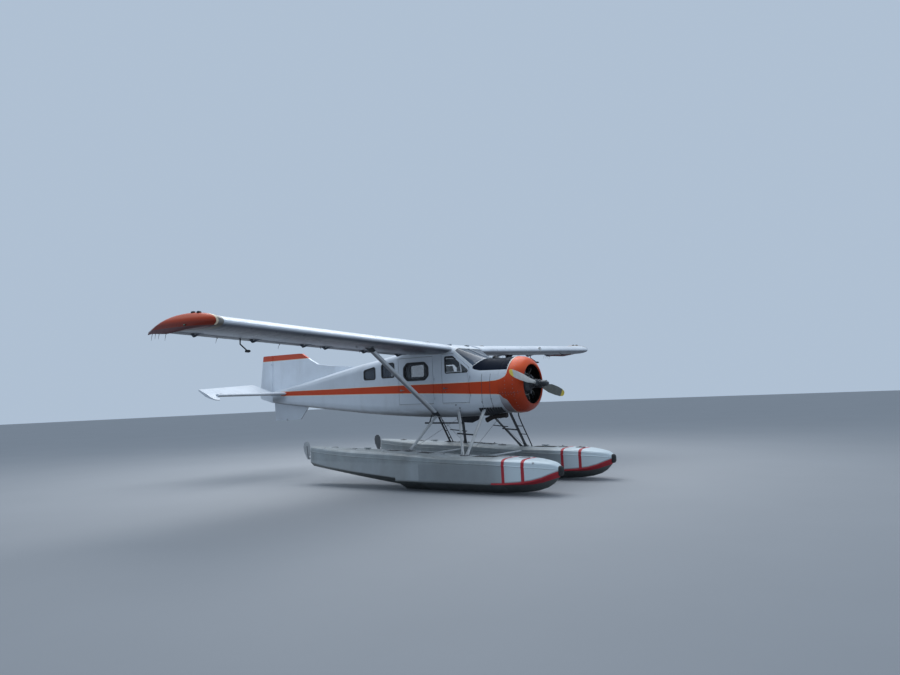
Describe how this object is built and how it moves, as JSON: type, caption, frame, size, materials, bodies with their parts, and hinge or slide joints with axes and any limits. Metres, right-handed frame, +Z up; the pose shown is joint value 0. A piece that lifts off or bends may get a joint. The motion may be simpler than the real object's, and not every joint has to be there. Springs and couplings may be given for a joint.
{
  "type": "single-engined high-wing floatplane",
  "caption": "Full-size high-wing bush aircraft with a radial engine and a cabin, on floats, with working propeller, doors, flaps, control surfaces and water rudders.",
  "frame": {"origin": "on the floor under the middle of the whole aircraft, which stands on the keels of its floats", "axes": "+X towards the nose, +Y to port, along the span, +Z up"},
  "size_m": [10.205, 14.6282, 3.5002],
  "materials": {
    "airframe_white": "weathered white paint on sheet metal",
    "nose_white": "weathered white paint, matt black on top",
    "cowl_orange": "semi-gloss orange paint",
    "wing_silver": "silver-white paint with orange tips",
    "float_grey": "worn grey paint",
    "strut_grey": "grey paint",
    "engine_metal": "dark heat-stained metal",
    "exhaust_steel": "burnt brown steel",
    "prop_metal": "satin grey with yellow tips",
    "window_glass": "clear, slightly tinted",
    "seat_cloth": "woven grey cloth",
    "panel_black": "matt black",
    "bumper_rubber": "matt black rubber"
  },
  "bodies": {
    "airframe": {"wing_left": "wing_silver", "wing_right": "wing_silver", "wing_strut_left": "strut_grey", "wing_strut_right": "strut_grey", "fuselage_cabin": "airframe_white", "cabin_window_front_left": "window_glass", "cabin_window_front_right": "window_glass", "cabin_window_rear_left": "window_glass", "cabin_window_rear_right": "window_glass", "windshield_left": "window_glass", "windshield_right": "window_glass", "fuselage_tail": "airframe_white", "fin": "airframe_white", "tailplane_left": "airframe_white", "tailplane_right": "airframe_white", "ventral_fin": "airframe_white", "nose_cowling": "nose_white", "engine_cowl": "cowl_orange", "engine": "engine_metal", "exhaust": "exhaust_steel", "float_left": "float_grey", "float_right": "float_grey", "float_strut_front_left": "strut_grey", "float_strut_front_right": "strut_grey", "float_strut_diagonal_left": "strut_grey", "float_strut_diagonal_right": "strut_grey", "float_strut_rear_left": "strut_grey", "float_strut_rear_right": "strut_grey", "spreader_bar_front": "strut_grey", "spreader_bar_rear": "strut_grey", "bow_bumper_left": "bumper_rubber", "bow_bumper_right": "bumper_rubber", "front_seat_left": "seat_cloth", "front_seat_right": "seat_cloth", "rear_bench": "seat_cloth", "instrument_panel": "panel_black"},
    "propeller": {"prop_hub": "prop_metal", "prop_blade_left": "prop_metal", "prop_blade_right": "prop_metal"},
    "crew_door_left": {"crew_door_left": "airframe_white", "crew_door_window_left": "window_glass"},
    "crew_door_right": {"crew_door_right": "airframe_white", "crew_door_window_right": "window_glass"},
    "cabin_door_left": {"cabin_door_left": "airframe_white", "cabin_door_window_left": "window_glass"},
    "cabin_door_right": {"cabin_door_right": "airframe_white", "cabin_door_window_right": "window_glass"},
    "flap_left": {"flap_left": "wing_silver"},
    "flap_right": {"flap_right": "wing_silver"},
    "aileron_left": {"aileron_left": "wing_silver"},
    "aileron_right": {"aileron_right": "wing_silver"},
    "elevator": {"elevator": "airframe_white"},
    "rudder": {"rudder": "airframe_white"},
    "water_rudder_post_left": {"water_rudder_post_left": "strut_grey"},
    "water_rudder_post_right": {"water_rudder_post_right": "strut_grey"},
    "water_rudder_blade_left": {"water_rudder_blade_left": "strut_grey"},
    "water_rudder_blade_right": {"water_rudder_blade_right": "strut_grey"}
  },
  "joints": [
    {"name": "propeller_spin", "type": "hinge", "parent": "airframe", "child": "propeller", "pos_m": [3.9445, 0, 2.22], "axis": [1, 0, 0], "continuous": true},
    {"name": "crew_door_left_swing", "type": "hinge", "parent": "airframe", "child": "crew_door_left", "pos_m": [2.5325, 0.654, 2.2], "axis": [0, 0, -1], "range_deg": [0, 70]},
    {"name": "crew_door_right_swing", "type": "hinge", "parent": "airframe", "child": "crew_door_right", "pos_m": [2.5325, -0.654, 2.2], "axis": [0, 0, 1], "range_deg": [0, 70]},
    {"name": "cabin_door_left_swing", "type": "hinge", "parent": "airframe", "child": "cabin_door_left", "pos_m": [1.5425, 0.654, 2.2], "axis": [0, 0, -1], "range_deg": [0, 75]},
    {"name": "cabin_door_right_swing", "type": "hinge", "parent": "airframe", "child": "cabin_door_right", "pos_m": [1.5425, -0.654, 2.2], "axis": [0, 0, 1], "range_deg": [0, 75]},
    {"name": "flap_right_drop", "type": "hinge", "parent": "airframe", "child": "flap_right", "pos_m": [0.8385, -2.24304, 3.04528], "axis": [0, -0.9994, 0.0349], "range_deg": [0, 50]},
    {"name": "flap_left_drop", "type": "hinge", "parent": "airframe", "child": "flap_left", "pos_m": [0.8385, 2.24304, 3.04528], "axis": [0, -0.9994, -0.0349], "range_deg": [0, 50]},
    {"name": "aileron_right_turn", "type": "hinge", "parent": "airframe", "child": "aileron_right", "pos_m": [0.8385, -5.34115, 3.15347], "axis": [0, -0.9994, 0.0349], "range_deg": [-18, 18]},
    {"name": "aileron_left_turn", "type": "hinge", "parent": "airframe", "child": "aileron_left", "pos_m": [0.8385, 5.34115, 3.15347], "axis": [0, -0.9994, -0.0349], "range_deg": [-18, 18]},
    {"name": "elevator_turn", "type": "hinge", "parent": "airframe", "child": "elevator", "pos_m": [-4.3975, 0, 2.28], "axis": [0, 1, 0], "range_deg": [-44, 4]},
    {"name": "rudder_turn", "type": "hinge", "parent": "airframe", "child": "rudder", "pos_m": [-4.5555, 0, 2.3], "axis": [0, 0, 1], "range_deg": [-24, 24]},
    {"name": "water_rudder_left_steer", "type": "hinge", "parent": "airframe", "child": "water_rudder_post_left", "pos_m": [-1.7035, 1.35, 0.66], "axis": [0, 0, 1], "range_deg": [-25, 25]},
    {"name": "water_rudder_right_steer", "type": "hinge", "parent": "airframe", "child": "water_rudder_post_right", "pos_m": [-1.7035, -1.35, 0.66], "axis": [0, 0, 1], "range_deg": [-25, 25]},
    {"name": "water_rudder_right_lift", "type": "hinge", "parent": "water_rudder_post_right", "child": "water_rudder_blade_right", "pos_m": [-1.8275, -1.35, 0.62], "axis": [0, 1, 0], "range_deg": [-165, 0]},
    {"name": "water_rudder_left_lift", "type": "hinge", "parent": "water_rudder_post_left", "child": "water_rudder_blade_left", "pos_m": [-1.8275, 1.35, 0.62], "axis": [0, 1, 0], "range_deg": [-165, 0]}
  ],
  "couplings": [
    {"joint": "flap_left_drop", "follows": "flap_right_drop", "ratio": 1},
    {"joint": "aileron_left_turn", "follows": "aileron_right_turn", "ratio": -1},
    {"joint": "water_rudder_left_steer", "follows": "rudder_turn", "ratio": 1},
    {"joint": "water_rudder_right_steer", "follows": "rudder_turn", "ratio": 1},
    {"joint": "water_rudder_left_lift", "follows": "water_rudder_right_lift", "ratio": 1}
  ]
}
